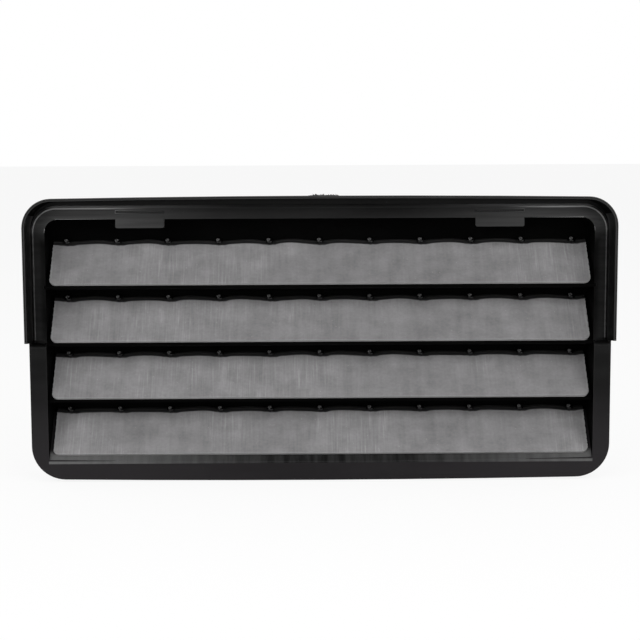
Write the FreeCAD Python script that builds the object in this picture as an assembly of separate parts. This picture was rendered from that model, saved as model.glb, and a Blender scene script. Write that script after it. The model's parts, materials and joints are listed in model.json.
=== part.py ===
import FreeCAD, Part
import math
import os

# Body vent with rubber flaps: a moulded louvre housing, its flaps and the seal behind its flange.
# X runs to the right seen from the front, Y back into the body, Z up.
# The origin is the centre of the outline in the mounting plane, Y = 0. All sizes are in millimetres.

Vector = FreeCAD.Vector

# Louvre rows, seen in a cut from front to back
rows = 4
row_pitch = 29.6
seat_angle = 45.0
seat_run = 28.3
seat_thickness = 2.0
nose_height = 1.2
web_thickness = 1.6
ridge_back = 13.3
pocket_depth = 2.7
pocket_height = 4.5
relief_angle = 38.0

# Opening and flange
opening_width = 282.2
room_above_ridge = 14.4
side_margin = 8.9
top_margin = 11.2
bottom_margin = 10.0
edge_crown = 1.2
sill_crown = 1.4
top_corner_radius = 15.0
bottom_corner_radius = 17.5
opening_corner_radius = 6.7
duct_corner_radius = 4.0
wall = 2.2

# Distances in front of the mounting plane, and the duct's length behind it
flange_reach = 9.5
gutter_reach = 3.5
band_reach = 6.5
hood_reach = 24.0
duct_length = 20.5

# Hood, ledge and band
ledge_height = -0.9
ledge_slope = 1.0
ledge_radius = 2.0
hood_wall = 1.4
hood_lean = 1.2
hood_end_height = 0.6
hood_end_radius = 1.5
hood_edge_chamfer = 0.4
flange_edge_radius = 1.0
band_chamfer = 1.5
band_width = 7.0

# Windows under each flap
windows = 6
window_top_land = 4.5
window_bottom_land = 3.5
window_side_land = 4.0
window_rib = 2.5
window_corner = 1.2
stiffener = 1.5

# Flaps and the pins that they hang on
pins = 11
pin_sides = 8
pin_inset = 9.1
pin_radius = 0.75
pin_length = 2.45
pin_root = 1.2
head_radius = 1.9
head_rim = 0.35
head_height = 1.3
flap_side_gap = 1.9
flap_lip_gap = 0.5
flap_margin = 2.6
flap_thickness = 0.9
flap_lift = 0.1
flap_corner_radius = 3.0
hole_clearance = 0.85

# Push tabs, snap fingers and locating hooks
tab_offset = 92.2
tab_width = 25.0
tab_drop = 4.5
tab_corner_radius = 1.0
groove_width = 1.2
groove_depth = 0.8
groove_room = 1.0
panel_gap = 1.2
finger_width = 18.0
finger_length = 12.0
finger_slot = 1.2
hook_width = 15.0
hook_height = 2.4
hook_length = 9.0
hook_offset = 95.0
crush_rib_height = 0.8
crush_rib_width = 1.5
crush_rib_offset = 30.0

# Seal and the ribs that carry it
seal_thickness = 2.5
seal_clearance = 0.3
seal_ribs_across = 12
seal_ribs_down = 3
seal_rib = 1.4

# Worked out from the sizes above
slope = math.radians(seat_angle)
half_opening = opening_width / 2
half_width = half_opening + side_margin
last_ridge_rise = (ridge_back + flange_reach) * math.tan(slope)
opening_height = last_ridge_rise + (rows - 1) * row_pitch + room_above_ridge
height = bottom_margin + opening_height + top_margin
outline_bottom = -height / 2
outline_top = height / 2
opening_bottom = outline_bottom + bottom_margin
opening_top = outline_top - top_margin
pocket_back = ridge_back + pocket_depth
recess_back = wall - gutter_reach
flap_length = seat_run - flap_lip_gap
hole_radius = (pin_radius + hole_clearance) / math.cos(math.pi / pin_sides)
window_height = seat_run - window_top_land - window_bottom_land
window_row = opening_width - 2 * window_side_land
window_width = (window_row - (windows - 1) * window_rib) / windows
pin_pitch = (opening_width - 2 * pin_inset) / (pins - 1)
bevel = (band_reach - gutter_reach - band_chamfer) / (band_width - band_chamfer)
lean_rate = hood_lean / (hood_reach - gutter_reach)
overlap = wall / 2
past = 5.0


def ridge_height(row):
    return opening_bottom + last_ridge_rise + (rows - 1 - row) * row_pitch


def box(x, y, z):
    # A block between two corners, each axis given as a pair.
    corner = Vector(x[0], y[0], z[0])
    return Part.makeBox(x[1] - x[0], y[1] - y[0], z[1] - z[0], corner)


def across(points, x):
    # A closed outline of (y, z) points carried from x[0] to x[1].
    corners = [Vector(x[0], y, z) for y, z in points]
    face = Part.Face(Part.makePolygon(corners + corners[:1]))
    return face.extrude(Vector(x[1] - x[0], 0, 0))


def fuse(shapes):
    return shapes[0].multiFuse(shapes[1:])


def edges_along(solid, direction):
    # The straight edges that run the given way.
    found = []
    for edge in solid.Edges:
        if edge.Curve.TypeId != "Part::GeomLine":
            continue
        if abs(edge.tangentAt(edge.FirstParameter).dot(direction)) > 0.999:
            found.append(edge)
    return found


def outline_prism(inset, y, rise=0):
    # The flange's outline, with crowned top and bottom edges, moved inwards and carried along Y.
    side = half_width - inset
    top = outline_top - inset + rise
    bottom = outline_bottom + inset
    corners = [Vector(-side, y[0], bottom + edge_crown), Vector(side, y[0], bottom + edge_crown)]
    corners += [Vector(side, y[0], top - edge_crown), Vector(-side, y[0], top - edge_crown)]
    lower = Part.Arc(corners[0], Vector(0, y[0], bottom), corners[1]).toShape()
    upper = Part.Arc(corners[2], Vector(0, y[0], top), corners[3]).toShape()
    right = Part.makeLine(corners[1], corners[2])
    left = Part.makeLine(corners[3], corners[0])
    face = Part.Face(Part.Wire([lower, right, upper, left]))
    prism = face.extrude(Vector(0, y[1] - y[0], 0))
    low_edges = []
    high_edges = []
    for edge in edges_along(prism, Vector(0, 1, 0)):
        middle = edge.CenterOfMass
        (high_edges if middle.z > 0 else low_edges).append(edge)
    prism = prism.makeFillet(bottom_corner_radius - inset, low_edges)
    high_edges = []
    for edge in edges_along(prism, Vector(0, 1, 0)):
        on_corner = edge.CenterOfMass.z > top - 2 * edge_crown - 0.01
        if on_corner:
            high_edges.append(edge)
    return prism.makeFillet(top_corner_radius - inset, high_edges)


def leaning_block(stations):
    # The outline at several insets and reaches, joined by straight faces. Its top rises towards the front.
    wires = []
    for inset, reach in stations:
        prism = outline_prism(inset, (-reach, past - reach), lean_rate * (reach - gutter_reach))
        front = [face for face in prism.Faces if abs(face.BoundBox.YMax + reach) < 0.001]
        wires.append(front[0].OuterWire)
    return Part.makeLoft(wires, True, True)


def opening_wire(grow, y, top=None, radius=None):
    # The opening's outline, grown outwards, with round top corners, sharp bottom ones and a bowed sill.
    side = half_opening + grow
    top = opening_top + grow if top is None else top
    bottom = opening_bottom - grow
    radius = opening_corner_radius + grow if radius is None else radius
    turn = radius * (1 - math.sqrt(0.5))
    right_arc = Part.Arc(
        Vector(side, y, top - radius),
        Vector(side - turn, y, top - turn),
        Vector(side - radius, y, top),
    )
    left_arc = Part.Arc(
        Vector(-side + radius, y, top),
        Vector(-side + turn, y, top - turn),
        Vector(-side, y, top - radius),
    )
    left_corner = Vector(-side, y, bottom + sill_crown)
    right_corner = Vector(side, y, bottom + sill_crown)
    edges = [
        Part.Arc(left_corner, Vector(0, y, bottom), right_corner).toShape(),
        Part.makeLine(right_corner, Vector(side, y, top - radius)),
        right_arc.toShape(),
        Part.makeLine(Vector(side - radius, y, top), Vector(-side + radius, y, top)),
        left_arc.toShape(),
        Part.makeLine(Vector(-side, y, top - radius), left_corner),
    ]
    return Part.Wire(edges)


def opening_prism(grow, y, low_radius=0):
    prism = Part.Face(opening_wire(grow, y[0])).extrude(Vector(0, y[1] - y[0], 0))
    if low_radius == 0:
        return prism
    corners = [e for e in edges_along(prism, Vector(0, 1, 0)) if e.CenterOfMass.z < 0]
    return prism.makeFillet(low_radius, corners)


def on_seat(shape, row):
    # Made with x across, y up the slope and z out of the seat, then put on a row's ridge line.
    turn = FreeCAD.Rotation(Vector(1, 0, 0), seat_angle)
    placed = shape.copy()
    placed.Placement = FreeCAD.Placement(Vector(0, ridge_back, ridge_height(row)), turn)
    return placed


def seat_point(row, down, out):
    # The (y, z) point that lies down the slope from the ridge and out of the seat.
    y = ridge_back - down * math.cos(slope) - out * math.sin(slope)
    z = ridge_height(row) - down * math.sin(slope) + out * math.cos(slope)
    return y, z


def rim_wall():
    # The hood's wall with its bevelled front edge. Its lower ends slope down to meet the ledge.
    edge = hood_edge_chamfer
    outer = [(0, gutter_reach), (0, hood_reach - edge), (edge, hood_reach)]
    inner = [(hood_wall, gutter_reach), (hood_wall, hood_reach - edge)]
    inner.append((hood_wall - 2 * edge, hood_reach + edge))
    ring = leaning_block(outer).cut(leaning_block(inner))
    rear = outline_prism(0, (-gutter_reach, 0)).cut(outline_prism(wall, (-gutter_reach - past, past)))
    low = ledge_height - wall
    high = outline_top + hood_lean + past
    profile = [(past, low), (ledge_radius - flange_reach, low), (-flange_reach, ledge_height)]
    profile += [(-hood_reach, hood_end_height), (-hood_reach, high), (past, high)]
    keep = across(profile, (-half_width - past, half_width + past))
    corner = []
    for line in edges_along(keep, Vector(1, 0, 0)):
        if line.CenterOfMass.y < past - hood_reach and line.CenterOfMass.z < outline_top:
            corner.append(line)
    keep = keep.makeFillet(hood_end_radius, corner)
    return ring.fuse(rear).common(keep)


def ledge_profile(inset):
    # The lower flange in a side cut: a sloping ledge on top, rounded into the front face.
    front = -flange_reach + inset
    top = ledge_height - inset
    start = top - ledge_slope
    points = [(past, top), (-gutter_reach, top), (front + ledge_radius, start)]
    steps = 6
    for step in range(1, steps + 1):
        angle = math.radians(90 * step / steps)
        y = front + ledge_radius * (1 - math.sin(angle))
        z = start - ledge_radius * (1 - math.cos(angle))
        points.append((y, z))
    low = outline_bottom - past
    return points + [(front, low), (past, low)]


def lower_flange():
    # A raised channel round the lower half, open at the back.
    reach = (-half_width - past, half_width + past)
    block = outline_prism(0, (-flange_reach, 0))
    front = [e for e in block.Edges if abs(e.BoundBox.YMax + flange_reach) < 0.01]
    block = block.makeFillet(flange_edge_radius, front)
    block = block.common(across(ledge_profile(0), reach))
    hollow = outline_prism(wall, (wall - flange_reach, past)).common(across(ledge_profile(wall), reach))
    recess = outline_prism(wall, (recess_back, past))
    return block.cut([hollow, recess])


def seal_ribs():
    # Short ribs across the lower channel. Their rear edges carry the seal in line with the gutter's back.
    ribs = []
    y = (wall / 2 - flange_reach, recess_back)
    spacing = opening_width / (seal_ribs_across - 1)
    for index in range(seal_ribs_across):
        x = -half_opening + index * spacing
        z = (outline_bottom + wall / 2 + edge_crown, opening_bottom - wall / 2)
        ribs.append(box((x - seal_rib / 2, x + seal_rib / 2), y, z))
    drop = (ledge_height - wall - opening_bottom) / (seal_ribs_down + 1)
    for index in range(seal_ribs_down):
        z = opening_bottom + (index + 1) * drop
        for side in (-1, 1):
            ends = sorted((side * (half_opening + wall / 2), side * (half_width - wall / 2)))
            ribs.append(box(ends, y, (z - seal_rib / 2, z + seal_rib / 2)))
    return ribs


def gutter():
    # The floor of the upper part, and the bevelled band that rises from it to the opening's edge.
    above = box(
        (-half_width - past, half_width + past),
        (-hood_reach - past, past),
        (ledge_height - wall, outline_top + past),
    )
    floor = outline_prism(wall / 2, (-gutter_reach, recess_back))
    foot_top = opening_top + band_width
    shoulder_top = foot_top - band_chamfer
    foot_radius = opening_corner_radius + band_width
    grow = side_margin - wall / 2
    foot = opening_wire(grow, -gutter_reach + 0.001, foot_top, foot_radius)
    shoulder = opening_wire(
        grow - band_chamfer,
        -gutter_reach - band_chamfer,
        shoulder_top,
        foot_radius - band_chamfer,
    )
    edge = opening_wire(0, -band_reach)
    band = Part.makeLoft([foot, shoulder], True, True).fuse(Part.makeLoft([shoulder, edge], True, True))
    return floor.fuse(band).common(above)


def duct():
    # The duct's wall, from the band or the lower flange back to its rear end.
    whole = opening_prism(wall, (-gutter_reach, duct_length), duct_corner_radius)
    front = opening_prism(wall, (-flange_reach + overlap, -gutter_reach + overlap), duct_corner_radius)
    below = box(
        (-half_width, half_width),
        (-flange_reach - past, past),
        (outline_bottom, ledge_height - wall),
    )
    return whole.fuse(front.common(below))


def web_line(row):
    # The underside of the web that runs back from a row's nose to the pocket of the row below.
    y, z = seat_point(row, seat_run, 0)
    return (y, z - nose_height), (pocket_back + seat_thickness, ridge_height(row + 1) + pocket_height)


def seat_profile(row):
    # Pocket wall, relief shelf, ridge and sloping seat of one row, in a side cut.
    rise = pocket_depth * math.tan(slope - math.radians(relief_angle))
    top = opening_top + wall / 2
    if row > 0:
        top = web_line(row - 1)[1][1] + web_thickness / 2
    shelf = ridge_height(row) + rise
    last = row == rows - 1
    run = (ridge_back + flange_reach) / math.cos(slope) if last else seat_run
    lip = seat_point(row, run, 0)
    under = (lip[0], lip[1] - (wall / 2 if last else nose_height))
    points = [(pocket_back, top), (pocket_back, shelf), seat_point(row, 0, 0), lip, under]
    points.append(seat_point(row, run - seat_thickness, -seat_thickness))
    points.append((seat_point(row, 0, -seat_thickness)[0], shelf - seat_thickness))
    points += [(pocket_back + seat_thickness, shelf - seat_thickness), (pocket_back + seat_thickness, top)]
    return points


def web_profile(row):
    front, back = web_line(row)
    return [front, back, (back[0], back[1] + web_thickness), (front[0], front[1] + nose_height)]


def stiffener_profile(row):
    # An upright wall in the space between a seat's back and the web or duct floor under it.
    top = seat_point(row, window_top_land, -seat_thickness / 2)
    if row == rows - 1:
        low = opening_bottom - wall / 2
        tip = seat_point(row, last_ridge_rise / math.sin(slope) - seat_thickness, -seat_thickness / 2)
        return [top, tip, (tip[0], low), (top[0], low)]
    front, back = web_line(row)
    tip = seat_point(row, seat_run - seat_thickness, -seat_thickness / 2)
    fall = (back[1] - front[1]) / (back[0] - front[0])
    ends = [(y, front[1] + fall * (y - front[0]) + web_thickness / 2) for y in (tip[0], top[0])]
    return [top, tip, ends[0], ends[1]]


def window_cutters(row):
    cutters = []
    for index in range(windows):
        x = -window_row / 2 + index * (window_width + window_rib)
        cutter = box(
            (x, x + window_width),
            (window_bottom_land - seat_run, -window_top_land),
            (-seat_thickness - 0.4, 1.0),
        )
        corners = edges_along(cutter, Vector(0, 0, 1))
        cutters.append(on_seat(cutter.makeChamfer(window_corner, corners), row))
    return cutters


def louvres():
    reach = (-half_opening - wall / 2, half_opening + wall / 2)
    solids = []
    cutters = []
    for row in range(rows):
        solids.append(across(seat_profile(row), reach))
        if row < rows - 1:
            solids.append(across(web_profile(row), reach))
        for index in range(1, windows):
            x = -window_row / 2 + index * (window_width + window_rib) - window_rib / 2
            half = stiffener / 2
            solids.append(across(stiffener_profile(row), (x - half, x + half)))
        cutters += window_cutters(row)
    block = fuse(solids).common(opening_prism(wall / 2, (-flange_reach, duct_length)))
    return block.cut(cutters)


def many_sided(radius, z):
    # An upright prism with the given distance from its axis to its corners.
    corners = []
    for index in range(pin_sides + 1):
        angle = 2 * math.pi * (index % pin_sides + 0.5) / pin_sides
        corners.append(Vector(radius * math.cos(angle), radius * math.sin(angle), z[0]))
    return Part.Face(Part.makePolygon(corners)).extrude(Vector(0, 0, z[1] - z[0]))


def pin():
    # A pin with a low head, bevelled on top, on the ridge line and at right angles to the seat.
    top = pin_length + head_height
    shank = many_sided(pin_radius, (-pin_root, pin_length + head_rim))
    head = many_sided(head_radius, (pin_length, top))
    rim = [e for e in head.Edges if abs(e.CenterOfMass.z - top) < 0.001]
    return shank.fuse(head.makeChamfer(head_height - head_rim, rim))


def pin_places():
    return [(index - (pins - 1) / 2) * pin_pitch for index in range(pins)]


def pin_rows():
    solids = []
    for row in range(rows):
        for x in pin_places():
            single = pin()
            single.translate(Vector(x, 0, 0))
            group = Part.makeCompound([single])
            solids.append(on_seat(group, row).Solids[0])
    return solids


def tab(side):
    # A finger tab that hangs below the band, with its front in line with the band's bevel.
    high = opening_top + wall
    low = opening_top - tab_drop
    y_high = -band_reach + bevel * wall
    y_low = -band_reach - bevel * tab_drop
    x = (side * tab_offset - tab_width / 2, side * tab_offset + tab_width / 2)
    plate = across([(y_high, high), (y_low, low), (y_low + wall, low), (y_high + wall, high)], x)
    corners = []
    for edge in plate.Edges:
        if abs(edge.CenterOfMass.z - low) < 0.01 and edge.BoundBox.XLength < 0.01:
            corners.append(edge)
    return plate.makeFillet(tab_corner_radius, corners)


def groove(side):
    # The shallow groove over a tab, cut square to the mounting plane.
    z = opening_top + band_width - band_chamfer - groove_width
    y = -gutter_reach - band_chamfer - groove_room
    x = (side * tab_offset - tab_width / 2, side * tab_offset + tab_width / 2)
    return box(x, (y, y + groove_room + groove_depth), (z - groove_width, z))


def finger_slots(side):
    # A U-shaped slot that frees a snap finger in the duct's top wall.
    middle = side * tab_offset
    half = finger_width / 2
    z = (opening_top - 1.0, opening_top + wall + 1.0)
    end = panel_gap + finger_length
    slots = []
    for edge in (-1, 1):
        x = middle + edge * (half + finger_slot / 2)
        slots.append(box((x - finger_slot / 2, x + finger_slot / 2), (panel_gap / 2, end), z))
    outer = half + finger_slot
    slots.append(box((middle - outer, middle + outer), (end, end + finger_slot), z))
    return slots


def hook(x, face, way):
    # A wedge that stops behind the panel. The face is the duct wall's outside, way is +1 up or -1 down.
    root = face - way * wall / 2
    tip = face + way * hook_height
    points = [(panel_gap, root), (panel_gap, tip), (panel_gap + hook_height / 2, tip)]
    points.append((panel_gap + hook_length, face))
    points.append((panel_gap + hook_length, root))
    return across(points, (x - hook_width / 2, x + hook_width / 2))


def hooks():
    top = opening_top + wall
    bottom = opening_bottom - wall
    found = [hook(side * tab_offset, top, 1) for side in (-1, 1)]
    found += [hook(place * hook_offset, bottom, -1) for place in (-1, 0, 1)]
    for side in (-1, 1):
        face = side * (half_opening + wall)
        ends = sorted((face - side * wall / 2, face + side * crush_rib_height))
        for way in (-1, 1):
            z = way * crush_rib_offset
            half = crush_rib_width / 2
            found.append(box(ends, (panel_gap, panel_gap + hook_length), (z - half, z + half)))
    return found


def housing():
    shell = fuse([rim_wall(), lower_flange(), gutter(), duct()] + seal_ribs())
    shell = shell.cut(opening_prism(0, (-hood_reach - past, duct_length + past)))
    tabs = [tab(-1), tab(1)]
    shell = fuse([shell, louvres()] + tabs + hooks())
    shell = shell.cut(finger_slots(-1) + finger_slots(1) + [groove(-1), groove(1)])
    return fuse([shell] + pin_rows()).removeSplitter()


def flap(row):
    # A rubber sheet with a hole for each pin. Its lower corners are rounded.
    half = half_opening - flap_side_gap
    low = -flap_length
    sheet = box((-half, half), (low, flap_margin), (flap_lift, flap_lift + flap_thickness))
    corners = []
    for edge in edges_along(sheet, Vector(0, 0, 1)):
        if edge.CenterOfMass.y < 0:
            corners.append(edge)
    sheet = sheet.makeFillet(flap_corner_radius, corners)
    holes = []
    for x in pin_places():
        hole = many_sided(hole_radius, (flap_lift - 1, flap_lift + flap_thickness + 1))
        hole.translate(Vector(x, 0, 0))
        holes.append(hole)
    return on_seat(sheet.cut(holes), row)


def perimeter_seal():
    # A foam ring in the recess between the duct and the rim, proud of the rim before it is pressed.
    y = (recess_back, recess_back + seal_thickness)
    ring = outline_prism(wall + seal_clearance, y)
    around = duct_corner_radius + seal_clearance
    return ring.cut(opening_prism(wall + seal_clearance, (y[0] - past, y[1] + past), around))


def export(name, shape):
    solids = shape.Solids
    solid = solids[0] if len(solids) == 1 else shape
    solid.exportStep("parts/" + name + ".step")
    print(name, "solids", len(solids), "valid", shape.isValid(), "volume", round(shape.Volume))


os.makedirs("parts", exist_ok=True)
export("housing", housing())
for number in range(rows):
    export("flap_" + str(number + 1), flap(number))
export("perimeter_seal", perimeter_seal())
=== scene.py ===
import json
import math

import bmesh
import bpy
import numpy as np
from mathutils import Matrix, Vector


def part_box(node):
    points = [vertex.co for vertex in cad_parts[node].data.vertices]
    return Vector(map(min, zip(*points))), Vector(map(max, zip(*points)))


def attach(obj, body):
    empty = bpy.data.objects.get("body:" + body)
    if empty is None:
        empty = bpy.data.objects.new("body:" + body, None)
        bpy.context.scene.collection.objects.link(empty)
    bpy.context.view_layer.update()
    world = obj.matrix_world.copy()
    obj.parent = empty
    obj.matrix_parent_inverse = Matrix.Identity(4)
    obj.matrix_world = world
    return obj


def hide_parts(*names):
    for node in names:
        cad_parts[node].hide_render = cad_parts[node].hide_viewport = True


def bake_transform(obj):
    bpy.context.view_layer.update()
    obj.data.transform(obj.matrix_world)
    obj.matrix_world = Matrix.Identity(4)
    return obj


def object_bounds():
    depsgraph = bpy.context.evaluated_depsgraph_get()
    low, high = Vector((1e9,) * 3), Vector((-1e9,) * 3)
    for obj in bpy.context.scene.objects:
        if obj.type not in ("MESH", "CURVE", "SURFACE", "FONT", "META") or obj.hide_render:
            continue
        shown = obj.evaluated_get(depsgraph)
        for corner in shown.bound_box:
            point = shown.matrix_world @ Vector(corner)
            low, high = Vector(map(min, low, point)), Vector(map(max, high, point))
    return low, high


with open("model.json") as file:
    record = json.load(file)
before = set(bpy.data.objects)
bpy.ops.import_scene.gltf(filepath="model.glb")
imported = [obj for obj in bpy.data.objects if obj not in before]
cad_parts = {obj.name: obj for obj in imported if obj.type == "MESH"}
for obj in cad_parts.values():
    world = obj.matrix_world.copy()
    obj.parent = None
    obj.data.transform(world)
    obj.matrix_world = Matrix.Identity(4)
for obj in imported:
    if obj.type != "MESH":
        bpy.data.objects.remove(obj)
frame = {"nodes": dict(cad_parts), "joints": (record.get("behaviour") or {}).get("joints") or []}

# Body vent with rubber flaps. X runs right, Y back into the body, Z up, all in metres.
mm = 0.001
cadLow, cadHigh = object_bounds()
print("frame loaded,", len(frame["nodes"]), "nodes")

# Each flap hangs on a ridge line, which is its joint's axis. Its seat slopes down and out at 45 degrees.
ridges = {j["child"]: Vector(j["pos_m"]) for j in frame["joints"]}
seatSlope = math.radians(45)
flapNames = sorted(ridges)
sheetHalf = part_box(flapNames[0])[1].x

pinRow = {
    "count": 11,
    "pitch": 26.4 * mm,
    "shankRadius": 0.8 * mm,
    "shankFoot": 0.3 * mm,
    "headLow": 2.4 * mm,
    "headHigh": 3.8 * mm,
    "headRadius": 1.98 * mm,
    "lipShare": 0.93,
    "lipRise": 0.15 * mm,
    "domeShare": 0.55,
    # highlightFrom is the way each head's painted highlight faces.
    "highlightFrom": (-0.15, 0.05, 0.987),
    "around": 20,
}
pinPlaces = (np.arange(pinRow["count"]) - (pinRow["count"] - 1) / 2) * pinRow["pitch"]


def addMesh(name, points, faces, sharpAngle=40):
    mesh = bpy.data.meshes.new(name)
    mesh.from_pydata(np.asarray(points).tolist(), [], faces)
    mesh.update()
    mesh.shade_smooth()
    mesh.set_sharp_from_angle(angle=math.radians(sharpAngle))
    piece = bpy.data.objects.new(name, mesh)
    bpy.context.scene.collection.objects.link(piece)
    return piece


def onSeat(x, down, out, ridge):
    # Seat coordinates to the frame: down runs down the slope from the ridge, out stands off the seat.
    c, s = math.cos(seatSlope), math.sin(seatSlope)
    y = ridge.y - down * c - out * s
    z = ridge.z - down * s + out * c
    return np.stack(np.broadcast_arrays(x, y, z), axis=-1)


def tubeFaces(rings, around):
    # Quads between neighbours of a tube's points, numbered ring by ring. Each ring closes on itself.
    i, j = np.meshgrid(np.arange(rings - 1), np.arange(around), indexing="ij")
    nextJ = (j + 1) % around
    quads = [i * around + j, i * around + nextJ, (i + 1) * around + nextJ, (i + 1) * around + j]
    return np.stack(quads, axis=-1).reshape(-1, 4).tolist()


# Materials: small helpers, then the effects that several materials share, as node groups.
def put(tree, kind, values=None, **settings):
    n = tree.nodes.new(kind)
    for key, value in settings.items():
        setattr(n, key, value)
    for key, value in (values or {}).items():
        if isinstance(value, bpy.types.NodeSocket):
            tree.links.new(value, n.inputs[key])
        else:
            n.inputs[key].default_value = value
    return n


def calc(tree, operation, a, b=0.0, c=0.0, clamp=False):
    return put(tree, "ShaderNodeMath", {0: a, 1: b, 2: c}, operation=operation, use_clamp=clamp).outputs[0]


def ramp(tree, value, low, high):
    # 0 below low, 1 above high, smooth between.
    n = put(tree, "ShaderNodeMapRange", {"Value": value, "From Min": low, "From Max": high},
            interpolation_type="SMOOTHSTEP")
    return n.outputs["Result"]


def mixColor(tree, share, a, b):
    n = put(tree, "ShaderNodeMix", data_type="RGBA")
    for socket, value in ((n.inputs["Factor"], share), (n.inputs[6], a), (n.inputs[7], b)):
        if isinstance(value, bpy.types.NodeSocket):
            tree.links.new(value, socket)
        else:
            socket.default_value = value
    return n.outputs[2]


def grey(value):
    return (value, value, value, 1)


def startGroup(name, inputs, outputs):
    group = bpy.data.node_groups.new(name, "ShaderNodeTree")
    for label, kind, default in inputs:
        socket = group.interface.new_socket(label, in_out="INPUT", socket_type=kind)
        if default is not None:
            socket.default_value = default
    for label in outputs:
        group.interface.new_socket(label, in_out="OUTPUT", socket_type="NodeSocketFloat")
    return group, group.nodes.new("NodeGroupInput").outputs, group.nodes.new("NodeGroupOutput").inputs


def grainGroup():
    # Moulded grain: two sizes of noise laid over each other, as a height from 0 to 1.
    group, given, out = startGroup(
        "mouldGrain",
        [("Vector", "NodeSocketVector", None), ("Scale", "NodeSocketFloat", 1200.0)],
        ["Height"],
    )
    fine = put(group, "ShaderNodeTexNoise",
               {"Vector": given["Vector"], "Scale": given["Scale"], "Detail": 2.0})
    coarse = calc(group, "MULTIPLY", given["Scale"], 0.17)
    broad = put(group, "ShaderNodeTexNoise", {"Vector": given["Vector"], "Scale": coarse, "Detail": 1.0})
    both = calc(group, "MULTIPLY_ADD", fine.outputs[0], 0.6, calc(group, "MULTIPLY", broad.outputs[0], 0.4))
    group.links.new(both, out["Height"])
    return group


def hazeGroup():
    # Uneven haze: soft noise stretched along one axis, as a mask about 0.5.
    group, given, out = startGroup(
        "uneven",
        [("Vector", "NodeSocketVector", None), ("Stretch", "NodeSocketVector", (1, 1, 1)),
         ("Detail", "NodeSocketFloat", 4.0)],
        ["Mask"],
    )
    scaled = put(group, "ShaderNodeVectorMath", {0: given["Vector"], 1: given["Stretch"]},
                 operation="MULTIPLY")
    noise = put(group, "ShaderNodeTexNoise",
                {"Vector": scaled.outputs[0], "Scale": 1.0, "Detail": given["Detail"], "Roughness": 0.55})
    group.links.new(noise.outputs[0], out["Mask"])
    return group


def speckGroup():
    # Dust specks: round spots at the cells of a Voronoi pattern. Each cell's own colour picks which stay.
    group, given, out = startGroup(
        "dustSpecks",
        [("Vector", "NodeSocketVector", None), ("Scale", "NodeSocketFloat", 400.0),
         ("Size", "NodeSocketFloat", 0.16), ("Share", "NodeSocketFloat", 0.6)],
        ["Mask"],
    )
    cells = put(group, "ShaderNodeTexVoronoi", {"Vector": given["Vector"], "Scale": given["Scale"]})
    spot = calc(group, "LESS_THAN", cells.outputs["Distance"], given["Size"])
    pick = put(group, "ShaderNodeSeparateColor", {0: cells.outputs["Color"]})
    kept = calc(group, "GREATER_THAN", pick.outputs[0], given["Share"])
    group.links.new(calc(group, "MULTIPLY", spot, kept), out["Mask"])
    return group


grain, haze, specks = grainGroup(), hazeGroup(), speckGroup()


def useGroup(tree, group, values):
    return put(tree, "ShaderNodeGroup", values, node_tree=group).outputs[0]


def startMaterial(name):
    material = bpy.data.materials.new(name)
    material.use_nodes = True
    tree = material.node_tree
    return material, tree, tree.nodes["Principled BSDF"]


def addBump(tree, shader, height, distance, strength):
    bump = put(tree, "ShaderNodeBump", {"Height": height, "Distance": distance, "Strength": strength})
    tree.links.new(bump.outputs[0], shader.inputs["Normal"])


blackPlastic = {
    "dark": 0.0014,
    "hazy": 0.0036,
    "edge": 0.0110,
    "sillPale": 0.112,
    "dustAndSheen": 0.06,
    # rim is a painted highlight on the hood's bevelled outer rim.
    "rim": 0.031,
    # lowPaintedLight is painted light on the lower flange, with the plastic's own faint purple tint.
    "lowPaintedLight": (0.0155, 0.0140, 0.0153, 1),
    # bandPale is the band's paler tone, strongest near its corners.
    "bandPale": 0.052,
    # bandStripHighlight and bandLineHighlight are painted highlights on the band's shoulder.
    "bandStripHighlight": 0.165,
    "bandLineHighlight": 0.42,
    "roughLow": 0.32,
    "roughHigh": 0.46,
    "specular": 0.09,
    # The matte values make the deep louvre walls darker and duller, as painted shade.
    "matteRough": 0.7,
    "matteSpecular": 0.02,
    "matteShadeLow": 0.0004,
    "matteShadeHigh": 0.0010,
    # The pin tones: a dark head, and a painted highlight on its crown.
    "pinRough": 0.22,
    "pinDark": 0.0012,
    "pinHighlight": 0.10,
    "pinSpecular": 0.18,
    "grainHeight": 0.02 * mm,
    "matteGrain": 0.04 * mm,
    "pinGrain": 0.015 * mm,
}
# The band runs round the opening above the first flap. Its upper straight starts this far over the ridge.
bandLow = ridges[flapNames[0]].z + 14.4 * mm

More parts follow.
